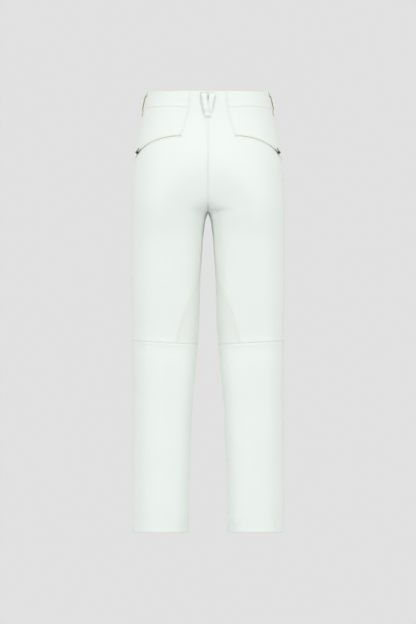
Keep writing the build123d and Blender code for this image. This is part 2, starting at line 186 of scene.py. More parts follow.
def relief(drop, angle):
    """How the worn cloth stands off the plain form: soft swells, knee gathers, flutes towards the hem."""
    backward = np.clip(np.sin(angle), 0, 1)
    forward = np.clip(-np.sin(angle), 0, 1)
    inward = np.clip(np.cos(angle), 0, 1)
    lower = np.clip((drop - 640) / 400, 0, 1)
    swell = 0.7 * np.sin(drop / 41 + 2.1 * angle) * np.sin(drop / 67 - 1.3 * angle + 0.6)
    fold = -0.8 * bump(drop, 615, 11) * backward + 0.5 * bump(drop, 650, 24) * backward
    fold += -1.3 * bump(drop, 560, 12) * forward + 1.0 * bump(drop, 664, 26) * forward
    flutes = lower * (1.5 * np.sin(3 * angle + drop / 160) + 0.9 * np.sin(5 * angle - 1.0 - drop / 210))
    reach = np.clip((drop - 250) / 60, 0, 1) * np.clip((430 - drop) / 120, 0, 1)
    creases = -0.6 * reach * inward * np.sin(drop / 9.0 + 3.0 * angle) * bump(drop, 330, 50)
    waist = np.clip((drop - 20) / 60, 0, 1)
    return waist * (swell + fold + flutes + creases)


def level(drop, angle):
    """Drop after the small tilt of the real edges: the back waist dips and the knee seams fall inwards."""
    point = surface(drop, angle)
    x = point[..., 0]
    knee = (4.3 - (x - 25) * 0.051) * bump(drop, KNEE, 60)
    backward = np.clip(point[..., 1] / 110, 0, 1)
    dip = 5.0 * backward * bump(drop, 0, 90)
    seam, rear = bump(drop, WAIST_SEAM, 16), np.clip(point[..., 1] / 60, 0, 1)
    arch = 4.0 * ((x - 100) / 55) ** 2 * seam * rear * (x > 40)
    hem = -6.0 * backward * bump(drop, LENGTH, 70)
    return drop + knee + dip + hem + arch - 2.0 * seam * rear


def on_cloth(drop, angle, height=0.0, inset=0.0):
    """Points over the worn cloth at this height."""
    tilted = level(drop, angle)
    lift = relief(drop, angle) + height
    return surface(tilted, angle, inset) + normals(tilted, angle) * lift[..., None]


# ---- seam lines: each gives an angle for a drop ----


def arc_through(table, back):
    """Circle arc through three surface points: centre from the two perpendicular bisectors."""
    first, middle, last = [surface(d, angle_at(d, x, back)) for d, x in table]
    a, b = middle - first, last - first
    cross = np.cross(a, b)
    centre = first + np.cross(np.dot(b, b) * a - np.dot(a, a) * b, -cross) / (2 * np.dot(cross, cross))
    start = first - centre
    radius = np.linalg.norm(start)
    axis = unit(np.cross(start, last - centre))
    sweep = math.acos(np.dot(start, last - centre) / radius**2)
    side = np.cross(axis, start)

    def value(t):
        turn = np.asarray(t, float)[..., None] * sweep
        return centre + np.cos(turn) * start + np.sin(turn) * side

    return value


rear_arc = arc_through(REAR_ZIP, True)
front_arc = arc_through(FRONT_ZIP, False)


def angle_of(points):
    return np.arctan2(points[..., 1], leg_centre(-points[..., 2]) - points[..., 0]) % (2 * np.pi)


REAR_LINE = rear_arc(np.linspace(0, 1, 61))


def rear_zip_angle(drop):
    drops = np.append(-REAR_LINE[:, 2], SIDE_TIP)
    return np.interp(drop, drops, np.append(angle_of(REAR_LINE), np.pi))


def centre_back(drop):
    return np.where(drop < CROTCH, angle_at(drop, 0.0), 0.0)


def centre_front(drop):
    return np.where(drop < CROTCH, angle_at(drop, 0.0, back=False), 2 * np.pi)


def held_at(angle):
    """A seam that stays at one angle."""
    return lambda drop: angle + 0 * drop


side_seam = held_at(np.pi)
inseam_start = held_at(0.0)
inseam_end = held_at(2 * np.pi)


def grown_on_seam(drop):
    return angle_at(drop, back_seam(drop))


def yoke_edge(drop):
    under = np.maximum(rear_zip_angle(drop + ZIP_SLOT / 2), grown_on_seam(drop))
    return np.where(drop + ZIP_SLOT / 2 < REAR_ZIP[0][0], grown_on_seam(drop), under)


def back_panel_side(drop):
    over = rear_zip_angle(drop - ZIP_SLOT / 2)
    return np.where(drop < REAR_ZIP[0][0] + ZIP_SLOT / 2, grown_on_seam(drop), over)


def back_panel_inner(drop):
    return np.where(drop >= CROTCH, angle_at(drop, gusset_seam(drop)), centre_back(drop))


def gusset_front(drop):
    return 2 * np.pi - angle_at(drop, gusset_seam(drop))


def gusset_start(drop):
    return gusset_front(drop) - 2 * np.pi


def front_panel_inner(drop):
    slot = FLY_SLOT / 2 * np.clip((FLAP_BOTTOM - drop) / 6, 0, 1)
    return np.where(drop >= CROTCH, gusset_front(drop), angle_at(drop, slot, back=False))


# ---- meshes ----


def rows(*stops):
    """Drops from stop to stop, each (drop, step): the step is the spacing up to the next stop."""
    parts = []
    for (start, step), (end, _) in zip(stops, stops[1:]):
        count = max(1, round((end - start) / step))
        parts.append(np.linspace(start, end, count, endpoint=False))
    return np.append(np.concatenate(parts), stops[-1][0])


def columns(count):
    """Places from 0 to 1, closer together towards both ends: half a cosine wave."""
    return (1 - np.cos(np.linspace(0, np.pi, count))) / 2


def grid_faces(count_down, count_along, wrap=False):
    """Quads of a grid, each along then down so that its normal is along x down."""
    index = np.arange(count_down * count_along).reshape(count_down, count_along)
    if wrap:
        index = np.concatenate([index, index[:, :1]], axis=1)
    return join(index[:-1, :-1], index[:-1, 1:], index[1:, 1:], index[1:, :-1]).reshape(-1, 4)


def placed(name, data):
    """A new object of the scene."""
    thing = bpy.data.objects.new(name, data)
    bpy.context.scene.collection.objects.link(thing)
    return thing


def mesh_piece(name, points, faces, finish, side, uv=None, marks=None):
    """Object from points in millimetres. side -1 mirrors it and turns its faces back out."""
    points = points.reshape(-1, 3) * (side * MM, MM, MM)
    faces = faces[:, ::-1] if side < 0 else faces
    mesh = bpy.data.meshes.new(name)
    mesh.from_pydata(points.tolist(), [], faces.tolist())
    if uv is not None:
        layer = mesh.uv_layers.new(name="cloth")
        layer.data.foreach_set("uv", uv.reshape(-1, 2)[faces.ravel()].ravel())
    for key, values in (marks or {}).items():
        layer = mesh.attributes.new(key, "FLOAT", "POINT")
        layer.data.foreach_set("value", values.ravel().astype(np.float32))
    mesh.shade_smooth()
    mesh.update()
    piece = placed(name, mesh)
    mesh.materials.append(finish)
    return piece


def distance_to(points, border):
    """Distance from each point to the nearest point of a densely sampled border."""
    flat = points.reshape(-1, 3)
    best = np.full(len(flat), 1e9)
    for start in range(0, len(flat), 4000):
        gap = flat[start : start + 4000, None] - border[None]
        best[start : start + 4000] = np.sqrt((gap**2).sum(axis=2).min(axis=1))
    return best.reshape(points.shape[:-1])


def widest_row(points):
    """Greatest length along any row of a grid."""
    steps = np.linalg.norm(np.diff(points, axis=1), axis=2)
    return np.cumsum(steps, axis=1)[:, -1].max()


def cell_area(points):
    across = points[:-1, 1:] - points[:-1, :-1]
    down = points[1:, :-1] - points[:-1, :-1]
    return np.linalg.norm(np.cross(across, down), axis=2).sum() * MM * MM


def border_of(drops, start, end):
    """All four edges of a panel as one dense line of points."""
    fine = np.interp(np.linspace(0, 1, 500), np.linspace(0, 1, len(drops)), drops)
    share = np.linspace(0, 1, 260)
    edges = [on_cloth(fine, start(fine)), on_cloth(fine, end(fine))]
    for drop in (drops[0], drops[-1]):
        edges.append(on_cloth(drop, start(drop) + (end(drop) - start(drop)) * share))
    return np.concatenate(edges)


def roll(distance):
    """Height of a sewn edge: it turns down into its seam over a few millimetres, after a slight ridge."""
    return -ROLL_DEPTH * bump(distance, 0, ROLL_WIDTH) + 0.25 * bump(distance, 4.5, 2.4)


def panel(name, drops, start, end, finish, side, slot="shell_fabric", inset=0.0, cloth=CLOTH, across=64):
    """A cloth panel between two seams, its edges rolled into them, thickened inwards."""
    border = border_of(drops, start, end)
    drops = drops[:, None]
    begin, stop = start(drops), end(drops)
    trim = SEAM_GAP / 2 / (outer_edge(drops) - leg_centre(drops))
    angle = begin + trim + (stop - begin - 2 * trim) * columns(across)[None, :]
    drop = drops + 0 * angle
    depth = inset(drop) if callable(inset) else inset
    distance = distance_to(on_cloth(drop, angle), border)
    points = on_cloth(drop, angle, 0.0, depth) + normals(drop, angle) * roll(distance)[..., None]
    uv = join((angle - np.pi) * WEAVE_RADIUS, -drop) * MM
    marks = {"seam": np.minimum(distance, 40.0)}
    piece = mesh_piece(name, points, grid_faces(*drop.shape), finish, side, uv, marks)
    wall = piece.modifiers.new("cloth", "SOLIDIFY")
    wall.thickness = cloth * MM
    wall.offset = -1
    area, width = cell_area(points), widest_row(points) * MM
    height = (drops[-1, 0] - drops[0, 0]) * MM
    min(area, width * height)
    return piece


def squared(wave, power):
    """A sine or cosine raised to a power with its sign kept, which squares off a circle."""
    return np.sign(wave) * np.abs(wave) ** power


def circle(count):
    return np.linspace(0, 2 * np.pi, count, endpoint=False)


def rounded_outline(width, thick, lift=0.0, corners=4.0, count=20):
    """Closed outline (across, out): a superellipse of this width and thickness, its middle at lift."""
    turn = circle(count)
    across = width / 2 * squared(np.cos(turn), 2 / corners)
    out = thick / 2 * squared(np.sin(turn), 2 / corners)
    return join(across, out + lift)


def path_frames(points, out):
    """Points with their outward and sideways directions, squared to the path."""
    tangent = unit(np.gradient(points, axis=0))
    across = unit(np.cross(out, tangent))
    return points, unit(np.cross(tangent, across)), across


def ringed(name, grid, finish, side, body, uv=None, marks=None, flip=False):
    """Object from a grid whose rows close on themselves; it rides a body if one is named."""
    uv = np.zeros(grid.shape[:2] + (2,)) if uv is None else uv
    faces = grid_faces(*grid.shape[:2], wrap=True)
    piece = mesh_piece(name, grid, faces[:, ::-1] if flip else faces, finish, side, uv, marks)
    weld(piece)
    if body:
        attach(piece, body)
    return piece


def sweep(name, path, outline, finish, side, slot, body="pants_body"):
    """An outline carried along a path: its end rings shrink to a point, which closes the ends."""
    points, out, across = path
    ring = points[:, None] + across[:, None] * outline[None, :, :1] + out[:, None] * outline[None, :, 1:]
    middle = ring.mean(axis=1, keepdims=True)
    share = np.array([0.001, 0.7])[:, None, None]
    head = middle[:1] + (ring[:1] - middle[:1]) * share
    tail = middle[-1:] + (ring[-1:] - middle[-1:]) * share[::-1]
    grid = np.concatenate([head, ring, tail])
    along = np.concatenate([[0], np.cumsum(np.linalg.norm(np.diff(grid[:, 0], axis=0), axis=1))])
    uv = join(outline[None, :, 0], along[:, None]) * MM
    return ringed(name, grid, finish, side, body, uv, {"seam": np.full(grid.shape[:2], 30.0)})


def weld(piece):
    """Merges the doubled points at poles and seams."""
    net = bmesh.new()
    net.from_mesh(piece.data)
    bmesh.ops.remove_doubles(net, verts=net.verts, dist=0.000002)
    bmesh.ops.dissolve_degenerate(net, edges=net.edges, dist=0.000001)
    net.to_mesh(piece.data)
    net.free()


# ---- finishes ----

THREAD_PITCH = 0.0011
# Tan mixed into the cloth right at its seams: painted seam shade.
PAINTED_SEAM_SHADE = (0.50, 0.49, 0.40)


class Sock:
    """A shader socket that takes part in arithmetic; each operator adds a Math node."""

    def __init__(self, finish, socket):
        self.finish = finish
        self.socket = socket

    def math(self, operation, *values):
        return self.finish.add("ShaderNodeMath", {"operation": operation}, dict(enumerate(values)))

    def __add__(self, other):
        return self.math("ADD", self, other)

    def __sub__(self, other):
        return self.math("SUBTRACT", self, other)

    def __rsub__(self, other):
        return self.math("SUBTRACT", other, self)

    def __mul__(self, other):
        return self.math("MULTIPLY", self, other)

    def sine(self):
        return self.math("SINE", self)

    __radd__ = __add__
    __rmul__ = __mul__


class Finish:
    """A material around one Principled shader, whose uniform values are set here."""

    def __init__(self, name, uniform):
        self.material = bpy.data.materials.new(name)
        self.material.use_nodes = True
        self.tree = self.material.node_tree
        self.shader = self.tree.nodes["Principled BSDF"]
        for key, value in uniform.items():
            self.shader.inputs[key].default_value = value

    def add(self, kind, settings=None, inputs=None, output=0):
        """A node of this type: its settings first, then the values or links of its sockets."""
        node = self.tree.nodes.new(kind)
        for key, value in (settings or {}).items():
            setattr(node, key, value)
        for key, value in (inputs or {}).items():
            self.connect(value, node.inputs[key])
        return Sock(self, node.outputs[output])

    def connect(self, value, socket):
        if isinstance(value, Sock):
            self.tree.links.new(value.socket, socket)
        else:
            socket.default_value = (*value, 1.0) if socket.type == "RGBA" else value

    def feed(self, key, value):
        self.connect(value, self.shader.inputs[key])

    def axis(self, vector, name):
        return self.add("ShaderNodeSeparateXYZ", None, {0: vector}, "XYZ".index(name))

    def uv(self):
        return self.add("ShaderNodeUVMap", {"uv_map": "cloth"})

    def place(self):
        return self.add("ShaderNodeTexCoord", None, None, "Object")

    def noise(self, vector, scale, detail=2.0):
        values = {"Vector": vector, "Scale": scale, "Detail": detail}
        return self.add("ShaderNodeTexNoise", None, values, "Fac")

    def fade(self, value, low, high):
        """1 below low, 0 above high, smooth between."""
        span = {"Value": value, "From Min": low, "From Max": high, "To Min": 1.0, "To Max": 0.0}
        return self.add("ShaderNodeMapRange", {"interpolation_type": "SMOOTHSTEP"}, span)

    def mix(self, factor, first, second):
        """Colour between first and second, each given without its alpha."""
        return self.add("ShaderNodeMix", {"data_type": "RGBA"}, {0: factor, 6: first, 7: second}, 2)

    def bump(self, height, depth):
        values = {"Height": height, "Distance": depth, "Strength": 1.0}
        self.feed("Normal", self.add("ShaderNodeBump", None, values))

    def coat(self, colour, roughness, height, depth):
        """Feeds the shader its colour, roughness and relief, and gives back the material."""
        self.feed("Base Color", colour)
        self.feed("Roughness", roughness)
        self.bump(height, depth)
        return self.material


def twill(name, colour, shade):
    """Woven cloth: diagonal ribs, fine threads, cloudy tone, puckered along its seams, and tinted darker tan
    right at them as painted seam shade.
    """
    made = Finish(name, {"Sheen Weight": 0.25, "Sheen Roughness": 0.5, "Specular IOR Level": 0.25})
    uv = made.uv()
    u, v = made.axis(uv, "X"), made.axis(uv, "Y")
    turn = 2 * math.pi / THREAD_PITCH
    ribs = ((u + v) * turn).sine() * 0.5 + 0.5
    threads = (u * (turn * 2)).sine() * (v * (turn * 2)).sine()
    cloud = made.noise(made.place(), 9.0, 3.0)
    seam = made.add("ShaderNodeAttribute", {"attribute_name": "seam"}, None, "Fac")
    # near: how much painted seam shade, full at the seam and none 1.5 mm from it.
    near = made.fade(seam, 0.1, 1.5)
    ripple = made.noise(uv, 160.0, 1.0) * made.fade(seam, 2.0, 16.0)
    tone = made.mix(cloud * 0.7 + ribs * 0.3, colour, shade)
    height = ribs * 0.05 + threads * 0.03 + ripple * 0.5
    return made.coat(made.mix(near * 0.16, tone, PAINTED_SEAM_SHADE), cloud * 0.1 + 0.72, height, 0.0011)


def plain_weave(name, colour, shade, pitch, roughness=0.55):
    """Light lining cloth: a square weave of fine threads with a cloudy tone."""
    made = Finish(name, {"Sheen Weight": 0.15, "Specular IOR Level": 0.35})
    uv = made.uv()
    turn = 2 * math.pi / pitch
    threads = (made.axis(uv, "X") * turn).sine() * (made.axis(uv, "Y") * turn).sine()
    cloud = made.noise(made.place(), 14.0)
    tone = made.mix(cloud, colour, shade)
    return made.coat(tone, cloud * 0.12 + roughness, threads * 0.1 + cloud * 0.3, 0.001)


def ribbed(name, colour, shade, pitch, roughness=0.6):
    """Elastic or tape: ribs across its length, with a cloudy tone."""
    made = Finish(name, {"Specular IOR Level": 0.3})
    ribs = (made.axis(made.uv(), "Y") * (2 * math.pi / pitch)).sine() * 0.5 + 0.5
    cloud = made.noise(made.place(), 40.0)
    tone = made.mix(cloud * 0.5 + ribs * 0.5, colour, shade)
    return made.coat(tone, cloud * 0.1 + roughness, ribs * 0.25, 0.001)


def cast_metal(name, colour, shade, roughness):
    """Die-cast or pressed metal: fine grain, with worn, smoother patches."""
    made = Finish(name, {"Metallic": 0.9, "Coat Weight": 0.2})
    grain = made.noise(made.place(), 900.0)
    worn = made.noise(made.place(), 130.0)
    tone = made.mix(worn, colour, shade)
    return made.coat(tone, grain * 0.12 + worn * 0.1 + roughness, grain * 0.1, 0.0004)


def moulded(name, colour, shade, roughness=0.5):
    """Moulded plastic or coated tape: faint grain and a cloudy tone."""
    made = Finish(name, {"Specular IOR Level": 0.4})
    grain = made.noise(made.place(), 700.0)
    cloud = made.noise(made.place(), 60.0)
    return made.coat(made.mix(cloud, colour, shade), cloud * 0.12 + roughness, grain * 0.12, 0.0005)


shell_cloth = twill("white twill", (0.87, 0.92, 0.868), (0.84, 0.89, 0.838))
gusset_cloth = twill("greyer white twill", (0.85, 0.89, 0.84), (0.82, 0.86, 0.81))
facing_cloth = plain_weave("brushed facing", (0.74, 0.76, 0.75), (0.68, 0.70, 0.70), 0.0016, 0.8)
lining_cloth = plain_weave("grey lining", (0.56, 0.59, 0.61), (0.49, 0.52, 0.55), 0.0009, 0.5)
gaiter_cloth = plain_weave("gaiter cloth", (0.66, 0.68, 0.69), (0.60, 0.62, 0.64), 0.0014, 0.6)
elastic_web = ribbed("ribbed elastic", (0.72, 0.72, 0.70), (0.60, 0.60, 0.59), 0.0022)
# Olive-tan of the zip tape, lips and coil: painted shade of the narrow zip slot.
zip_slot_shade = moulded("olive zip tape painted as slot shade", (0.60, 0.58, 0.38), (0.50, 0.48, 0.31), 0.42)
coil_slot_shade = moulded("olive zip coil painted as slot shade", (0.40, 0.38, 0.22), (0.32, 0.30, 0.17), 0.38)
# Dark olive sheet under the side loops: painted shade in the gap between loop and waistband.
loop_shade_sheet = plain_weave("painted olive shade under loops", (0.46, 0.42, 0.15), (0.38, 0.35, 0.12), 0.0012, 0.7)
cream_piping = moulded("cream piping", (0.93, 0.94, 0.85), (0.89, 0.90, 0.81), 0.6)
gunmetal = cast_metal("gunmetal", (0.05, 0.05, 0.055), (0.10, 0.10, 0.105), 0.32)
stud_metal = cast_metal("satin stud metal", (0.46, 0.46, 0.47), (0.56, 0.56, 0.57), 0.30)
pull_rubber = moulded("soft olive pull", (0.38, 0.36, 0.20), (0.31, 0.29, 0.16), 0.55)
thread_white = moulded("white sewing thread", (0.84, 0.86, 0.83), (0.76, 0.78, 0.75), 0.6)

SIDES = (("left", 1), ("right", -1))


def across_knee(piece, side_name):
    """Bakes the piece's place into its points; the knee's x is worked out but not used, and the piece does
    not bend.
    """
    x = float(leg_centre(KNEE)) * dict(SIDES)[side_name] * MM
    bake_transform(piece)


# ---- cloth panels ----


def cover(part, half, drops, start, end, finish=shell_cloth, slot="shell_fabric", nodes=None, word="cloth",
          **cloth):
    """A panel of one half, shown in place of its CAD nodes."""
    name, side = half
    piece = panel(f"{part}_{word}_{name}", drops, start, end, finish, side, slot, **cloth)
    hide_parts(*[f"{node}_{name}" for node in nodes or [part]])
    return piece


def upper_panels(half):
    """Waist, yoke and seat."""
    band_rows = rows((0, 0.8), (6, 3), (33, 0.8), (39, 1))
    yoke_rows = rows((39, 0.8), (45, 4), (104, 1.2), (167.4, 1))
    front_rows = rows((39, 0.8), (45, 4), (470, 1), (480, 1))
    for piece in (
        cover("waistband", half, band_rows, grown_on_seam, centre_front, across=90),
        cover("back_yoke", half, yoke_rows, yoke_edge, side_seam),
        cover("front_panel", half, front_rows, side_seam, front_panel_inner, across=84),
    ):
        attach(piece, "pants_body")


def leg_panels(half):
    """The long back panel, gusset, knee and lower leg, and the leg lining."""
    back_rows = rows((0, 0.8), (6, 5), (104, 1.2), (172, 5), (588, 0.9), (596, 1))
    gusset_rows = rows((289, 1.2), (300, 4), (588, 0.9), (596, 1))
    knee_rows = rows((480, 0.9), (488, 4), (588, 0.9), (596, 1))
    lower_rows = rows((596, 0.9), (604, 4), (1040, 0.9), (1048, 1))
    fold = ["lower_back", "knee_fold"]
    for piece in (
        cover("back_panel", half, back_rows, back_panel_inner, back_panel_side),
        cover("gusset", half, gusset_rows, gusset_start, back_panel_inner, gusset_cloth, "gusset_fabric"),
        cover("knee_panel", half, knee_rows, side_seam, gusset_front),
        cover("lower_back", half, lower_rows, inseam_start, side_seam, nodes=fold),
        cover("lower_front", half, lower_rows, side_seam, inseam_end),
        cover("leg_lining", half, rows((40, 8), (998, 1)), centre_back, centre_front, lining_cloth,
              "lining_fabric", inset=lining_inset, cloth=0.7, across=90),
    ):
        across_knee(piece, half[0])


def facing(part, half, drops, start, end, **cloth):
    return cover(part, half, drops, start, end, facing_cloth, "facing_fabric", inset=CLOTH + 0.7, **cloth)


def inner_waist(half):
    """Waist facing and pocket bags."""
    band_rows = rows((1, 2), (38, 1))
    band = facing("waist_facing", half, band_rows, centre_back, centre_front, cloth=0.8, across=90)
    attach(band, "pants_body")
    for place, low, high, top, bottom in (("rear", 120, 166, 96, 286), ("front", 203, 244, 56, 268)):
        edges = held_at(math.radians(low)), held_at(math.radians(high))
        bag_rows, nodes = rows((top, 6), (bottom, 1)), [f"{place}_pocket_bag"]
        bag = cover(f"{place}_pocket", half, bag_rows, *edges, lining_cloth, "lining_fabric", nodes,
                    inset=6.0, cloth=1.2, across=24)
        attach(bag, "pants_body")


def gaiter_inset(drop):
    return 9.5 + 14.0 * np.clip((drop - GAITER_TOP) / (GAITER_BOTTOM - GAITER_TOP), 0, 1)


def grip_inset(drop):
    return gaiter_inset(drop) + 1.6


def inner_hem(half):
    """Hem facing, and the snow gaiter with its elastic."""
    ring = (inseam_start, inseam_end)
    hem_rows = rows((LENGTH - HEM_DEPTH, 2), (LENGTH - 1, 1))
    gaiter_rows = rows((GAITER_TOP, 4), (GAITER_BOTTOM, 1))
    grip_rows = rows((GAITER_BOTTOM - 26, 2), (GAITER_BOTTOM - 1, 1))
    for piece in (
        facing("hem_facing", half, hem_rows, *ring, cloth=1.0, across=110),
        cover("snow_gaiter", half, gaiter_rows, *ring, gaiter_cloth, "lining_fabric", inset=gaiter_inset,
              cloth=1.0, across=140),
        cover("gaiter_elastic", half, grip_rows, *ring, elastic_web, "grip_rubber", word="band",
              inset=grip_inset, cloth=1.2, across=110),
    ):
        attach(piece, f"shin_{half[0]}")


# ---- stitching ----

STITCH_PITCH = 3.4
STITCH_LENGTH = 2.6
STITCH_RISE = 0.1
THREAD = 0.34


def stitch_shape(sides=5):
    """One stitch along x: a thin tube between two pointed ends, all triangles."""
    turn = circle(sides)
    half = STITCH_LENGTH / 2
    ring = join(0.0, THREAD * np.cos(turn), THREAD * np.sin(turn))
    reach = (half * 0.6, 0, 0)
    points = np.concatenate([[[-half, 0, -0.2]], ring - reach, ring + reach, [[half, 0, -0.2]]])
    first = 1 + np.arange(sides)
    following = 1 + (np.arange(sides) + 1) % sides
    low = join(0, following, first)
    wall = join(first, following, following + sides)
    upper = join(first, following + sides, first + sides)
    high = join(first + sides, following + sides, 2 * sides + 1)
    return points, np.concatenate([low, wall, upper, high])


def scatter(shape, centres, xs, zs):
    """Copies of a shape, each turned to its own x and z directions."""
    points, faces = shape
    ys = unit(np.cross(zs, xs))
    copies = centres[:, None] + points[None, :, :1] * xs[:, None] + points[None, :, 1:2] * ys[:, None]
    copies = copies + points[None, :, 2:] * zs[:, None]
    index = faces[None] + (np.arange(len(centres)) * len(points))[:, None, None]
    return copies.reshape(-1, 3), index.reshape(-1, faces.shape[1])


def spaced(points, out, pitch=STITCH_PITCH):
    """Places at an even pitch along a line, with its direction and outward direction there."""
    steps = np.linalg.norm(np.diff(points, axis=0), axis=1)
    along = np.concatenate([[0], np.cumsum(steps)])
    at = np.arange(pitch / 2, along[-1], pitch)

    def read(vectors, shift=0.0):
        return join(*[np.interp(at + shift, along, column) for column in vectors.T])

    return read(points), unit(read(points, 0.6) - read(points, -0.6)), unit(read(out))


def beside(drops, angles, gap):
    """A line on the cloth, gap to one side of a seam: stepped sideways, then laid back on the cloth."""
    points, _, across = path_frames(surface(drops, angles), normals(drops, angles))
    moved = points + across * gap
    drop, angle = -moved[:, 2], angle_of(moved)
    return on_cloth(drop, angle, STITCH_RISE + roll(np.abs(gap))), normals(drop, angle)


def spread(first, last, count=160):
    return np.linspace(first, last, count)


def fly_curve():
    """The row that outlines the fly: straight down, then a quarter turn in to the centre."""
    curve = np.linspace(0, np.pi / 2, 40)
    drops = np.concatenate([spread(44, 150), 150 + 52 * np.sin(curve)])
    offsets = np.concatenate([np.full(160, 34.0), 34 - 32 * (1 - np.cos(curve))])
    return drops, angle_at(drops, offsets, back=False), 0.0


def stitch_lines(side_name):
    """Every row of topstitching on one half: (drops, angles, gap), laid as lines on the cloth."""
    centre, fly, upright = spread(60, 284), spread(204, 286), spread(2, 106)
    inner, outer = spread(293, 592), spread(166, 1040, 300)
    start, end, turn = float(grown_on_seam(39.0)), float(centre_front(39.0)), 2 * np.pi
    plan = [(centre, centre_back(centre), -2.4), (fly, centre_front(fly), 2.4)]
    plan += [(upright, grown_on_seam(upright), gap) for gap in (2.2, 5.4)]
    plan += [(41.4, spread(start + 0.02, end - 0.16), 0.0)]
    plan += [(3.0, spread(float(centre_back(3.0)) + 0.02, end - 0.02), 0.0)]
    for gap in (2.2, 5.6):
        plan += [(inner, back_panel_inner(inner), -gap), (inner, gusset_front(inner), gap)]
    plan += [(outer, side_seam(outer), 2.4)]
    plan += [(drop, spread(0.04, turn - 0.04, 240), 0.0) for drop in (593.4, 598.6)]
    plan += [(482.6, spread(np.pi + 0.03, float(gusset_front(482.6)) - 0.03), 0.0)]
    plan += [(LENGTH - up, spread(0.02, turn - 0.02, 260), 0.0) for up in (HEM_STITCH, HEM_DEPTH - 2)]
    for arc in (rear_arc, front_arc):
        track = arc(np.linspace(0.0, 1.0, 90))
        plan += [(-track[:, 2], angle_of(track), gap) for gap in (4.2, -4.2)]
    if side_name == "left":
        plan.append(fly_curve())
    return [beside(*row) for row in plan]


def threads(name, parts, side):
    """A stitch at every (centre, direction, outward) of the parts, as one piece."""
    centres, xs, zs = [np.concatenate(group) for group in zip(*parts)]
    points, faces = scatter(stitch_shape(), centres, xs, zs)
    return mesh_piece(name, points, faces, thread_white, side)


def stitching(name, lines, side):
    """All of a list of stitch lines as one piece."""
    return threads(name, [spaced(points, out) for points, out in lines], side)


def bar_tack(centre, along, out, length):
    """Satin bar: stitches laid side by side along a short line."""
    at = np.arange(-length / 2, length / 2, 0.55)[:, None]
    count = len(at)
    xs = np.tile(unit(np.cross(out, along)), (count, 1))
    return centre + along * at + out * 0.15, xs, np.tile(out, (count, 1))


def tacks(name, bars, side):
    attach(threads(name, bars, side), "pants_body")


def stitch_side(name, side):
    """Topstitching of one half, and the cream piping let into the gusset's back seam."""
    across_knee(stitching(f"topstitching_{name}", stitch_lines(name), side), name)
    drops = spread(298, 590, 200)
    angles = back_panel_inner(drops)
    path = path_frames(on_cloth(drops, angles), normals(drops, angles))
    outline = rounded_outline(1.6, 1.5, 0.3, 2.2)
    piping = sweep(f"gusset_piping_{name}", path, outline, cream_piping, side, "gusset_fabric", None)
    across_knee(piping, name)


# ---- pocket zips ----

SLIDER_LIFT = 2.2
SLIDER_HEIGHT = 2.6
BAIL_HEIGHT = 2.6
REAR_SLIDER_PLACE = 0.87
FRONT_SLIDER_PLACE = 0.06
PIN_HEIGHT = SLIDER_LIFT + SLIDER_HEIGHT + BAIL_HEIGHT / 2


def laid_track(arc, first, last, count=90):
    """Frames on the cloth under a stretch of a zip's arc."""
    track = arc(np.linspace(first, last, count))
    drops, angles = -track[:, 2], angle_of(track)
    return path_frames(on_cloth(drops, angles), normals(drops, angles))


def slider_frame(arc, place, turn):
    """Origin, x along the zip, y, and z out of the garment where a slider sits."""
    near = arc(place + np.array([-0.01, 0.0, 0.01]))
    out = normals(-near[1:2, 2], angle_of(near[1:2]))
    tangent = unit(near[2] - near[0])
    across = unit(np.cross(out[0], tangent))
    z = unit(np.cross(tangent, across))
    x = np.cross(across, z) * turn
    return near[1], x, np.cross(z, x), z


def pebble(name, frame_at, centre, size, corners, edge, finish, side, slot, body, pinch=0.0, ribs=0.0):
    """Closed rounded slab: a superellipse outline whose size follows a superellipse over its thickness.
    pinch narrows its middle, and ribs raises waves across its upper face."""
    origin, x, y, z = frame_at
    turn = circle(48)[None, :]
    rise = np.linspace(-np.pi / 2, np.pi / 2, 19)[:, None]
    shrink = np.abs(np.cos(rise)) ** (2 / edge)
    high = squared(np.sin(rise), 2 / edge)
    a = squared(np.cos(turn), 2 / corners) * shrink
    b = squared(np.sin(turn), 2 / corners) * shrink * (1 - pinch * bump(a, 0, 0.45))
    h = high + 0 * a + ribs * np.sin(a * 16) * (high > 0.5) * np.clip((0.8 - np.abs(a)) * 5, 0, 1)
    local = [part * long / 2 + middle for part, long, middle in zip((a, b, h), size, centre)]
    points = origin + sum(part[..., None] * axis for part, axis in zip(local, (x, y, z)))
    uv = join(*local[:2]) * MM
    return ringed(name, points, finish, side, body, uv, flip=True)


def wire_loop(name, frame_at, centre, size, radius, finish, side, slot, body):
    """Closed ring of round wire on a superellipse path."""
    origin, x, y, z = frame_at
    turn = circle(40)
    a = squared(np.cos(turn), 0.7) * size[0] / 2 + centre[0]
    b = squared(np.sin(turn), 0.7) * size[1] / 2 + centre[1]
    middle = origin + a[:, None] * x + b[:, None] * y + centre[2] * z
    tangent = unit(np.roll(middle, -1, axis=0) - np.roll(middle, 1, axis=0))
    inward = unit(np.cross(np.broadcast_to(z, tangent.shape), tangent))
    spin = circle(10)[None, :, None]
    ring = middle[:, None] + radius * (np.cos(spin) * inward[:, None] + np.sin(spin) * z)
    return ringed(name, np.concatenate([ring, ring[:1]]), finish, side, body)


def zip_teeth(name, points, out, width, side, pitch=1.5, lift=0.0):
    """Coil turns: short bars across the zip at an even pitch."""
    centres, xs, zs = spaced(points, out, pitch)
    shape_points, shape_faces = stitch_shape()
    bar = (shape_points * (width / STITCH_LENGTH, 1.5, 1.5), shape_faces)
    points, faces = scatter(bar, centres + zs * lift, unit(np.cross(zs, xs)), zs)
    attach(mesh_piece(name, points, faces, coil_slot_shade, side), "pants_body")


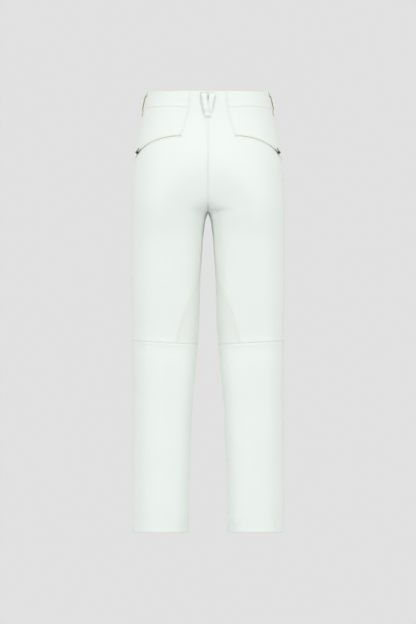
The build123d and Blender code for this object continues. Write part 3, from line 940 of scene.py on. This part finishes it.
def pocket_zip(where, arc, piped, name, side):
    """Tape, coated lips, coil, piping and bar tacks of one pocket. Tape, lips and coil are olive-tan: painted
    shade of the zip's slot.
    """
    track = laid_track(arc, 0.0, 1.0)
    taped = (zip_slot_shade, side, "zip_tape")
    tape = sweep(f"{where}_zip_tape_{name}", track, rounded_outline(14, 0.6, -3.2), *taped)
    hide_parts(f"{where}_zip_{name}")
    # The lips are olive-tan, as painted shade along the slot.
    for edge, step in (("upper", -1), ("lower", 1)):
        outline = rounded_outline(3.6, 0.6, -0.45) + (step * 2.02, 0.0)
        sweep(f"{where}_zip_{edge}_lip_{name}", track, outline, *taped)
    points, out, across = track
    zip_teeth(f"{where}_zip_coil_{name}", points, out, 3.4, side, lift=-2.4)
    piping = rounded_outline(1.7, 1.2, 0.0, 2.2) + (ZIP_SLOT / 2 + 0.5, 0.0)
    edge = laid_track(arc, *piped)
    sweep(f"{where}_zip_piping_{name}", edge, piping, cream_piping, side, "shell_fabric")
    bars = [bar_tack(points[i], across[i], out[i], 8.0) for i in (0, -1)]
    tacks(f"{where}_zip_bar_tacks_{name}", bars, side)


def slider_and_pull(where, at, name, side):
    """Die-cast block with its crown and bail, and a pull on a wire link."""
    slider, pull = f"{where}_slider_{name}", f"{where}_pull_{name}"
    metal = (gunmetal, side, "dark_metal")
    low, high = (0, 0, SLIDER_LIFT + 0.9), (0, 0, SLIDER_LIFT + 1.95)
    block = pebble(f"{slider}_block", at, low, (8.4, 6.8, 2.9), 3.0, 3.2, *metal, slider, pinch=0.22)
    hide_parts(slider)
    pebble(f"{slider}_crown", at, high, (5.6, 4.2, 1.3), 2.6, 2.4, *metal, slider)
    arch = np.linspace(0, np.pi, 24)
    origin, x, _, z = at
    path = origin + (2.6 * np.cos(arch))[:, None] * x + (SLIDER_LIFT + 2.4 + 2.9 * np.sin(arch))[:, None] * z
    out = np.cos(arch)[:, None] * x + np.sin(arch)[:, None] * z
    sweep(f"{slider}_bail", path_frames(path, out), rounded_outline(2.0, 0.9), *metal, slider)
    wire_loop(f"{pull}_link", at, (2.6, 0, PIN_HEIGHT), (6.6, 4.6), 0.55, *metal, pull)
    tab = pebble(f"{pull}_tab", at, (11.4, 0, PIN_HEIGHT), (12.6, 4.8, 1.8), 4.0, 3.0, pull_rubber, side,
                 "pull_plastic", pull, ribs=0.12)
    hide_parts(pull)


# ---- belt loops ----

LOOP_WIDTH = 12.5
LOOP_THICK = 1.2
LOOP_DROPS = [0.6, 6, 15, 40, 49, 57]
V_DROPS = [0.6, 6, 15, 45, 56, 64]
LOOP_HEIGHTS = [0.9, 0.9, 5.6, 5.6, 0.9, 0.9]
FRONT_LOOP_X = 88.0
V_TOP = 10.4
V_BOTTOM = 1.0
CROSSING_LIFT = 2.0


def belt_loop(label, angle_for, half, stops, over=0.0, rise=1.0, with_shade_sheet=False):
    """Folded tape sewn down at both ends, with two rows of stitches, and if asked a dark olive sheet under it
    as painted shade. Its height over the cloth follows a smooth curve through its stops."""
    name, side = half
    drops = np.linspace(stops[0], stops[-1], 60)
    angles = angle_for(drops)
    height = profile(list(zip(stops, LOOP_HEIGHTS)))(drops) * rise + over
    out = normals(drops, angles)
    path = path_frames(surface(level(drops, angles), angles) + out * height[:, None], out)
    points, out, across = path
    outline = rounded_outline(LOOP_WIDTH, LOOP_THICK, 0, 7, 28)
    tape = sweep(f"{label}_tape_{name}", path, outline, shell_cloth, side, "shell_fabric")
    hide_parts(f"{label}_{name}")
    # The sheet under the tape is painted shade, dark olive.
    if with_shade_sheet:
        under = rounded_outline(LOOP_WIDTH + 0.4, 2.0, -1.4, 7, 28)
        sweep(f"{label}_shade_sheet_{name}", path, under, loop_shade_sheet, side, "shell_fabric")
    lines = [(points + across * gap + out * 0.62, out) for gap in (-4.6, 4.6)]
    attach(stitching(f"{label}_stitching_{name}", lines, side), "pants_body")
    bars = [bar_tack(points[i] + out[i] * 0.6, across[i], out[i], LOOP_WIDTH - 2) for i in (3, -4)]
    tacks(f"{label}_bar_tacks_{name}", bars, side)


def belt_loops(half):
    crossing = CROSSING_LIFT if half[0] == "left" else 0.0
    belt_loop("side_loop", side_seam, half, LOOP_DROPS, over=1.0, rise=0.7, with_shade_sheet=True)
    belt_loop("front_loop", front_loop_line, half, LOOP_DROPS)
    belt_loop("back_loop_arm", arm_line, half, V_DROPS, crossing, rise=0.65)


def front_loop_line(drop):
    return angle_at(drop, FRONT_LOOP_X, back=False)


def arm_line(drop):
    """One arm of the V, which closes in towards the centre back seam."""
    share = (drop - V_DROPS[0]) / (V_DROPS[-1] - V_DROPS[0])
    return angle_at(drop, V_TOP + (V_BOTTOM - V_TOP) * share)


# ---- fly and waist closure ----

TAB_LIFT = 1.6
TAB_THICK = 1.8
TAB_SPAN = (-36.0, 40.0)
TAB_DROPS = (7.0, 33.0)
FLAP_SPAN = (-18.0, 18.0)
STUD_X = (14.0, 31.0)


def front_cloth(x, drop, height):
    """Points across the centre front at this height over the cloth, straight forward."""
    depth = front_depth(drop) * (1 - np.abs(x / outer_edge(drop)) ** ROUNDNESS) ** (1 / ROUNDNESS)
    return join(x, -depth - height, -drop)


def front_patch(name, span, drops, low, high, node, corner):
    """A double layer of cloth across the centre front: a patch with softly rounded edges and corners."""
    u = columns(48)[None, :] * 2 - 1
    v = columns(60)[:, None] * 2 - 1
    wide, tall = span[1] - span[0], drops[1] - drops[0]
    x = (span[0] + span[1]) / 2 + u * (1 - 0.5 * corner * np.abs(v) ** 12) * wide / 2
    drop = (drops[0] + drops[1]) / 2 + v * (1 - 0.5 * corner * np.abs(u) ** 12) * tall / 2
    edge = np.minimum((1 - np.abs(u)) * wide / 2, (1 - np.abs(v)) * tall / 2)
    puff = (high - low) / 2 * np.sqrt(1 - np.clip(1 - edge / 1.2, 0, 1) ** 2)
    ridge = 0.25 * bump(edge, 5.5, 2.2) - 0.2 * bump(edge, 3.0, 0.9)
    middle = (low + high) / 2
    upper, lower = front_cloth(x, drop, middle + puff + ridge), front_cloth(x, drop, middle - puff)
    faces = grid_faces(*x.shape)[:, ::-1]
    points = np.concatenate([upper.reshape(-1, 3), lower.reshape(-1, 3)])
    every = np.concatenate([faces, faces[:, ::-1] + x.size])
    uv = np.tile((join(x, -drop) * MM).reshape(-1, 2), (2, 1))
    marks = {"seam": np.tile(np.minimum(edge + 2.0, 40.0).ravel(), 2)}
    piece = mesh_piece(name, points, every, shell_cloth, 1, uv, marks)
    weld(piece)
    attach(piece, node)
    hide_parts(node)


def outline_row(span, drops, inset, height):
    """A stitch line that runs round a patch, inset from its edges."""
    left, right = span[0] + inset, span[1] - inset
    top, bottom = drops[0] + inset, drops[1] - inset
    x = np.concatenate([np.full(60, left), np.linspace(left, right, 60), np.full(60, right)])
    drop = np.concatenate([np.linspace(top, bottom, 60), np.full(60, bottom), np.linspace(bottom, top, 60)])
    points = front_cloth(x, drop, height)
    return points, np.tile((0.0, -1.0, 0.0), (len(points), 1))


def press_stud(name, x, height):
    """Cap of a press stud: a dome inside a raised rim, turned about its own axis."""
    drop = (TAB_DROPS[0] + TAB_DROPS[1]) / 2
    angle = angle_at(drop, x, back=False)
    z = normals(drop, angle)
    centre = surface(drop, angle) + z * height
    y = np.array([0.0, 0.0, 1.0])
    across = unit(np.cross(y, z))
    upward = np.cross(z, across)
    radius = np.array([0.001, 2.0, 4.0, 4.9, 5.4, 6.1, 6.5, 6.5, 6.1, 0.001])[:, None]
    rise = np.array([1.5, 1.45, 1.2, 0.95, 1.25, 1.5, 1.2, 0.5, 0.1, 0.1])[:, None]
    turn = circle(48)[None, :]
    spot = centre + (radius * np.cos(turn))[..., None] * across + (radius * np.sin(turn))[..., None] * upward
    points = spot + (rise + 0 * turn)[..., None] * z
    piece = ringed(name, points, stud_metal, 1, "waist_tab", flip=True)
    round_off = piece.modifiers.new("round", "SUBSURF")
    round_off.levels = 1
    round_off.render_levels = 1
    return piece


def fly_line(top, bottom, depth):
    """Frames down the centre front on the fly zip's straight line, depth under it."""
    high, low = front_cloth(0.0, FLY_TOP, 0.0), front_cloth(0.0, FLY_BOTTOM, 0.0)
    span = FLY_BOTTOM - FLY_TOP
    share = np.linspace((top - FLY_TOP) / span, (bottom - FLY_TOP) / span, 60)
    forward = np.tile((0.0, -1.0, 0.0), (60, 1))
    points, out, across = path_frames(high + (low - high) * share[:, None], forward)
    return points - out * depth, out, across


def make_fly():
    """Zip, slider, pull and shield of the fly."""
    line, outline = fly_line(FLY_TOP, FLY_BOTTOM, 5.2), rounded_outline(30, 0.8, 0, 8)
    tape = sweep("fly_zip_tape", line, outline, elastic_web, 1, "zip_tape")
    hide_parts("fly_zip")
    points, out, _ = fly_line(FLY_TOP + 2, FLY_BOTTOM - 2, 4.2)
    zip_teeth("fly_zip_coil", points, out, 5.0, 1, pitch=1.9)
    line, outline = fly_line(FLY_TOP, FLAP_BOTTOM - 4, 7.1), rounded_outline(44, 1.0, 0, 9)
    shield = sweep("fly_shield_cloth", line, outline, lining_cloth, 1, "lining_fabric")
    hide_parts("fly_shield")
    for node, finish in (("stud_sockets", stud_metal), ("fly_slider", gunmetal), ("fly_pull", pull_rubber)):
        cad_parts[node].data.materials.clear()
        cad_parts[node].data.materials.append(finish)


def make_closure():
    """Covering flap, waist tab and its press studs."""
    tab_top = TAB_LIFT + TAB_THICK
    flap_drops = (WAIST_SEAM + 2.2, FLAP_BOTTOM)
    for node, span, drops, low, high, corner, sewn in (
        ("fly_flap", FLAP_SPAN, flap_drops, 1.8, 3.4, 0.02, 3.45),
        ("waist_tab", TAB_SPAN, TAB_DROPS, TAB_LIFT, tab_top, 0.05, tab_top + 0.05),
    ):
        front_patch(f"{node}_cloth", span, drops, low, high, node, corner)
        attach(stitching(f"{node}_stitching", [outline_row(span, drops, 3.0, sewn)], 1), node)
    caps = [press_stud(f"stud_cap_{i}", x, tab_top + 0.2) for i, x in enumerate(STUD_X)]
    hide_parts("stud_caps")


# ---- stage, light and camera ----

VIEW_DISTANCE = 7.0
FRAME_HEIGHT = 1.487
MIDDLE = Vector((0.0, 0.0, -0.524))
FLOOR_RADIUS = 2000.0
FLOOR_DROP = LENGTH + 600.0
LAMPS = (
    ("above", (0.2, 3.4, 4.0), 2.4, 30.0),
    ("left", (3.4, 3.7, 1.4), 1.8, 76.0),
    ("right", (-3.4, 3.7, 1.4), 1.8, 76.0),
    ("far left", (4.4, 0.5, 0.8), 2.2, 20.0),
    ("far right", (-4.4, 0.5, 0.8), 2.2, 20.0),
    ("front", (0.2, -4.6, 1.4), 3.0, 85.0),
)


def make_floor():
    turn = circle(96)
    rim = join(FLOOR_RADIUS * np.cos(turn), FLOOR_RADIUS * np.sin(turn), -FLOOR_DROP)
    mesh = bpy.data.meshes.new("studio_floor")
    mesh.from_pydata((rim * MM).tolist(), [], [list(range(96))])
    piece = placed("studio_floor", mesh)
    mesh.materials.append(plain_weave("pale floor", (0.72, 0.72, 0.72), (0.70, 0.70, 0.70), 0.01, 0.8))
    mesh.uv_layers.new(name="cloth")


def soft_light(name, place, size, power):
    lamp = bpy.data.lights.new(name, "AREA")
    lamp.shape = "DISK"
    lamp.size = size
    lamp.energy = power
    holder = placed(name, lamp)
    holder.location = place
    holder.rotation_euler = (MIDDLE - Vector(place)).to_track_quat("-Z", "Y").to_euler()


def make_camera():
    eye = bpy.data.cameras.new("camera")
    eye.lens = eye.sensor_width * VIEW_DISTANCE / FRAME_HEIGHT
    holder = placed("camera", eye)
    holder.location = MIDDLE + Vector((0, VIEW_DISTANCE, 0))
    holder.rotation_euler = (math.radians(90), 0, math.radians(180))
    bpy.context.scene.camera = holder


def make_world():
    """The camera sees a plain backdrop, and every other ray a dimmer, even ambient."""
    world = bpy.data.worlds.new("studio")
    world.use_nodes = True
    tree = world.node_tree
    backdrop = tree.nodes["Background"]
    backdrop.inputs["Color"].default_value = (0.753, 0.753, 0.753, 1.0)
    ambient = tree.nodes.new("ShaderNodeBackground")
    ambient.inputs["Color"].default_value = (0.52, 0.52, 0.53, 1.0)
    seen = tree.nodes.new("ShaderNodeLightPath")
    blend = tree.nodes.new("ShaderNodeMixShader")
    tree.links.new(seen.outputs["Is Camera Ray"], blend.inputs[0])
    tree.links.new(ambient.outputs[0], blend.inputs[1])
    tree.links.new(backdrop.outputs[0], blend.inputs[2])
    tree.links.new(blend.outputs[0], tree.nodes["World Output"].inputs["Surface"])
    bpy.context.scene.world = world
    bpy.context.scene.view_settings.view_transform = "Standard"


make_world()
make_floor()
for lamp in LAMPS:
    soft_light(*lamp)
make_camera()
for half in SIDES:
    upper_panels(half)
    leg_panels(half)
    inner_waist(half)
    inner_hem(half)
    stitch_side(*half)
    pocket_zip("rear", rear_arc, (0.01, 0.62), *half)
    slider_and_pull("rear", slider_frame(rear_arc, REAR_SLIDER_PLACE, -1), *half)
    pocket_zip("front", front_arc, (0.1, 0.99), *half)
    slider_and_pull("front", slider_frame(front_arc, FRONT_SLIDER_PLACE, 1), *half)
    belt_loops(half)
make_fly()
make_closure()
